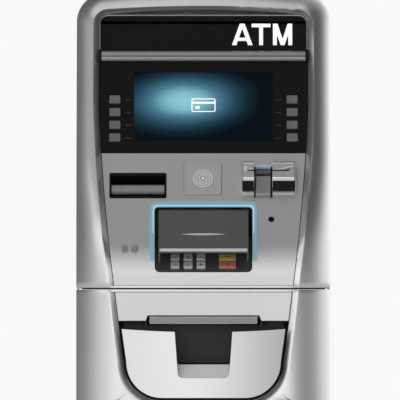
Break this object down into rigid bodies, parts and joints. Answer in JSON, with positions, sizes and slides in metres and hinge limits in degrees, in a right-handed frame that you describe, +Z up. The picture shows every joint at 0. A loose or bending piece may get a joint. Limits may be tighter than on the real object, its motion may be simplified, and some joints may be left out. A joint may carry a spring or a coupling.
{
  "type": "cash machine",
  "caption": "Slim free-standing cash machine: inclined fascia with sign, display, card reader and PIN pad over a safe whose door carries the cash tray.",
  "frame": {"origin": "middle of the base, on the floor, below the centre of the bounding box", "axes": "+Z up, -Y towards the user, +X to the user's right"},
  "size_m": [0.4, 0.58, 1.4],
  "materials": {
    "silver_paint": "metallic silver paint, satin",
    "panel_paint": "metallic silver paint, satin, slightly darker",
    "black_gloss": "gloss black acrylic",
    "black_plastic": "fine-textured black plastic",
    "grey_plastic": "satin dark grey plastic",
    "key_metal": "satin metal",
    "key_green": "satin green",
    "key_yellow": "satin yellow",
    "key_red": "satin red",
    "white_sign": "backlit white acrylic",
    "screen": "display behind gloss touch glass, lit blue",
    "blue_light": "blue light guide",
    "safe_steel": "dark grey textured paint on plate steel",
    "bare_steel": "brushed, nickel-plated",
    "paper": null,
    "module_grey": "plain grey sheet metal"
  },
  "bodies": {
    "cabinet": {"upper_cabinet": "silver_paint", "safe_body": "safe_steel", "controller_unit": "module_grey", "power_inlet": "black_plastic", "note_dispenser": "module_grey", "cash_cassette": "grey_plastic"},
    "fascia": {"fascia_shell": "silver_paint", "sign_face": "black_gloss", "sign_letters": "white_sign", "brow_bar": "silver_paint", "display_bezel": "black_plastic", "display_screen": "screen", "control_panel": "panel_paint", "receipt_bezel": "black_plastic", "receipt_printer": "module_grey", "contactless_reader": "grey_plastic", "card_reader_bezel": "silver_paint", "card_reader": "module_grey", "audio_jack": "black_plastic", "speaker": "black_plastic", "pad_light_guide": "blue_light", "pin_pad": "grey_plastic", "pad_hood": "grey_plastic"},
    "roll": {"paper_roll": "paper"},
    "cam_lock": {"fascia_lock": "bare_steel"},
    "safe_door_group": {"safe_door": "safe_steel", "lower_bezel": "silver_paint", "dispenser_panel": "panel_paint", "cash_tray": "silver_paint", "note_chute": "black_plastic", "door_cover": "silver_paint"},
    "flap": {"exit_flap": "silver_paint"},
    "dial": {"lock_dial": "bare_steel"},
    "handle": {"door_handle": "bare_steel"},
    "bolts": {"lock_bolts": "bare_steel"},
    "body_function_key_left_1": {"function_key_left_1": "grey_plastic"},
    "body_function_key_left_2": {"function_key_left_2": "grey_plastic"},
    "body_function_key_left_3": {"function_key_left_3": "grey_plastic"},
    "body_function_key_left_4": {"function_key_left_4": "grey_plastic"},
    "body_function_key_right_1": {"function_key_right_1": "grey_plastic"},
    "body_function_key_right_2": {"function_key_right_2": "grey_plastic"},
    "body_function_key_right_3": {"function_key_right_3": "grey_plastic"},
    "body_function_key_right_4": {"function_key_right_4": "grey_plastic"},
    "body_pad_key_1_1": {"pad_key_1_1": "key_metal"},
    "body_pad_key_1_2": {"pad_key_1_2": "key_metal"},
    "body_pad_key_1_3": {"pad_key_1_3": "key_metal"},
    "body_pad_key_1_4": {"pad_key_1_4": "key_red"},
    "body_pad_key_2_1": {"pad_key_2_1": "key_metal"},
    "body_pad_key_2_2": {"pad_key_2_2": "key_metal"},
    "body_pad_key_2_3": {"pad_key_2_3": "key_metal"},
    "body_pad_key_2_4": {"pad_key_2_4": "key_yellow"},
    "body_pad_key_3_1": {"pad_key_3_1": "key_metal"},
    "body_pad_key_3_2": {"pad_key_3_2": "key_metal"},
    "body_pad_key_3_3": {"pad_key_3_3": "key_metal"},
    "body_pad_key_3_4": {"pad_key_3_4": "key_green"},
    "body_pad_key_4_1": {"pad_key_4_1": "key_metal"},
    "body_pad_key_4_2": {"pad_key_4_2": "key_metal"},
    "body_pad_key_4_3": {"pad_key_4_3": "key_metal"},
    "body_pad_key_4_4": {"pad_key_4_4": "key_metal"}
  },
  "joints": [
    {"name": "fascia_hinge", "type": "hinge", "parent": "cabinet", "child": "fascia", "pos_m": [-0.185, -0.006, 1.15], "axis": [0, 0, -1], "range_deg": [0, 100]},
    {"name": "safe_door_hinge", "type": "hinge", "parent": "cabinet", "child": "safe_door_group", "pos_m": [-0.185, -0.166, 0.45], "axis": [0, 0, -1], "range_deg": [0, 100]},
    {"name": "exit_flap_hinge", "type": "hinge", "parent": "safe_door_group", "child": "flap", "pos_m": [0, -0.2555, 0.88], "axis": [-1, 0, 0], "range_deg": [0, 40]},
    {"name": "fascia_lock_turn", "type": "hinge", "parent": "fascia", "child": "cam_lock", "pos_m": [0.19, -0.04, 1.01], "axis": [-1, 0, 0], "range_deg": [0, 90]},
    {"name": "paper_roll_spin", "type": "hinge", "parent": "fascia", "child": "roll", "pos_m": [-0.103, -0.044, 1.084], "axis": [1, 0, 0], "continuous": true},
    {"name": "dial_turn", "type": "hinge", "parent": "safe_door_group", "child": "dial", "pos_m": [0.095, -0.262, 0.61], "axis": [0, -1, 0], "continuous": true},
    {"name": "handle_turn", "type": "hinge", "parent": "safe_door_group", "child": "handle", "pos_m": [0.095, -0.262, 0.5], "axis": [0, -1, 0], "range_deg": [0, 90]},
    {"name": "bolt_slide", "type": "slide", "parent": "safe_door_group", "child": "bolts", "axis": [1, 0, 0], "range_m": [0, 0.016]},
    {"name": "function_key_left_1_press", "type": "slide", "parent": "fascia", "child": "body_function_key_left_1", "axis": [0, 0.8886, -0.4587], "range_m": [0, 0.0015], "stiffness_N_per_m": 400, "springref_m": -0.001},
    {"name": "function_key_left_2_press", "type": "slide", "parent": "fascia", "child": "body_function_key_left_2", "axis": [0, 0.8886, -0.4587], "range_m": [0, 0.0015], "stiffness_N_per_m": 400, "springref_m": -0.001},
    {"name": "function_key_left_3_press", "type": "slide", "parent": "fascia", "child": "body_function_key_left_3", "axis": [0, 0.8886, -0.4587], "range_m": [0, 0.0015], "stiffness_N_per_m": 400, "springref_m": -0.001},
    {"name": "function_key_left_4_press", "type": "slide", "parent": "fascia", "child": "body_function_key_left_4", "axis": [0, 0.8886, -0.4587], "range_m": [0, 0.0015], "stiffness_N_per_m": 400, "springref_m": -0.001},
    {"name": "function_key_right_1_press", "type": "slide", "parent": "fascia", "child": "body_function_key_right_1", "axis": [0, 0.8886, -0.4587], "range_m": [0, 0.0015], "stiffness_N_per_m": 400, "springref_m": -0.001},
    {"name": "function_key_right_2_press", "type": "slide", "parent": "fascia", "child": "body_function_key_right_2", "axis": [0, 0.8886, -0.4587], "range_m": [0, 0.0015], "stiffness_N_per_m": 400, "springref_m": -0.001},
    {"name": "function_key_right_3_press", "type": "slide", "parent": "fascia", "child": "body_function_key_right_3", "axis": [0, 0.8886, -0.4587], "range_m": [0, 0.0015], "stiffness_N_per_m": 400, "springref_m": -0.001},
    {"name": "function_key_right_4_press", "type": "slide", "parent": "fascia", "child": "body_function_key_right_4", "axis": [0, 0.8886, -0.4587], "range_m": [0, 0.0015], "stiffness_N_per_m": 400, "springref_m": -0.001},
    {"name": "pad_key_1_1_press", "type": "slide", "parent": "fascia", "child": "body_pad_key_1_1", "axis": [0, 0.6293, -0.7771], "range_m": [0, 0.002], "stiffness_N_per_m": 400, "springref_m": -0.001},
    {"name": "pad_key_1_2_press", "type": "slide", "parent": "fascia", "child": "body_pad_key_1_2", "axis": [0, 0.6293, -0.7771], "range_m": [0, 0.002], "stiffness_N_per_m": 400, "springref_m": -0.001},
    {"name": "pad_key_1_3_press", "type": "slide", "parent": "fascia", "child": "body_pad_key_1_3", "axis": [0, 0.6293, -0.7771], "range_m": [0, 0.002], "stiffness_N_per_m": 400, "springref_m": -0.001},
    {"name": "pad_key_1_4_press", "type": "slide", "parent": "fascia", "child": "body_pad_key_1_4", "axis": [0, 0.6293, -0.7771], "range_m": [0, 0.002], "stiffness_N_per_m": 400, "springref_m": -0.001},
    {"name": "pad_key_2_1_press", "type": "slide", "parent": "fascia", "child": "body_pad_key_2_1", "axis": [0, 0.6293, -0.7771], "range_m": [0, 0.002], "stiffness_N_per_m": 400, "springref_m": -0.001},
    {"name": "pad_key_2_2_press", "type": "slide", "parent": "fascia", "child": "body_pad_key_2_2", "axis": [0, 0.6293, -0.7771], "range_m": [0, 0.002], "stiffness_N_per_m": 400, "springref_m": -0.001},
    {"name": "pad_key_2_3_press", "type": "slide", "parent": "fascia", "child": "body_pad_key_2_3", "axis": [0, 0.6293, -0.7771], "range_m": [0, 0.002], "stiffness_N_per_m": 400, "springref_m": -0.001},
    {"name": "pad_key_2_4_press", "type": "slide", "parent": "fascia", "child": "body_pad_key_2_4", "axis": [0, 0.6293, -0.7771], "range_m": [0, 0.002], "stiffness_N_per_m": 400, "springref_m": -0.001},
    {"name": "pad_key_3_1_press", "type": "slide", "parent": "fascia", "child": "body_pad_key_3_1", "axis": [0, 0.6293, -0.7771], "range_m": [0, 0.002], "stiffness_N_per_m": 400, "springref_m": -0.001},
    {"name": "pad_key_3_2_press", "type": "slide", "parent": "fascia", "child": "body_pad_key_3_2", "axis": [0, 0.6293, -0.7771], "range_m": [0, 0.002], "stiffness_N_per_m": 400, "springref_m": -0.001},
    {"name": "pad_key_3_3_press", "type": "slide", "parent": "fascia", "child": "body_pad_key_3_3", "axis": [0, 0.6293, -0.7771], "range_m": [0, 0.002], "stiffness_N_per_m": 400, "springref_m": -0.001},
    {"name": "pad_key_3_4_press", "type": "slide", "parent": "fascia", "child": "body_pad_key_3_4", "axis": [0, 0.6293, -0.7771], "range_m": [0, 0.002], "stiffness_N_per_m": 400, "springref_m": -0.001},
    {"name": "pad_key_4_1_press", "type": "slide", "parent": "fascia", "child": "body_pad_key_4_1", "axis": [0, 0.6293, -0.7771], "range_m": [0, 0.002], "stiffness_N_per_m": 400, "springref_m": -0.001},
    {"name": "pad_key_4_2_press", "type": "slide", "parent": "fascia", "child": "body_pad_key_4_2", "axis": [0, 0.6293, -0.7771], "range_m": [0, 0.002], "stiffness_N_per_m": 400, "springref_m": -0.001},
    {"name": "pad_key_4_3_press", "type": "slide", "parent": "fascia", "child": "body_pad_key_4_3", "axis": [0, 0.6293, -0.7771], "range_m": [0, 0.002], "stiffness_N_per_m": 400, "springref_m": -0.001},
    {"name": "pad_key_4_4_press", "type": "slide", "parent": "fascia", "child": "body_pad_key_4_4", "axis": [0, 0.6293, -0.7771], "range_m": [0, 0.002], "stiffness_N_per_m": 400, "springref_m": -0.001}
  ],
  "couplings": [
    {"joint": "bolt_slide", "follows": "handle_turn", "m_per_rad": 0.01018}
  ]
}
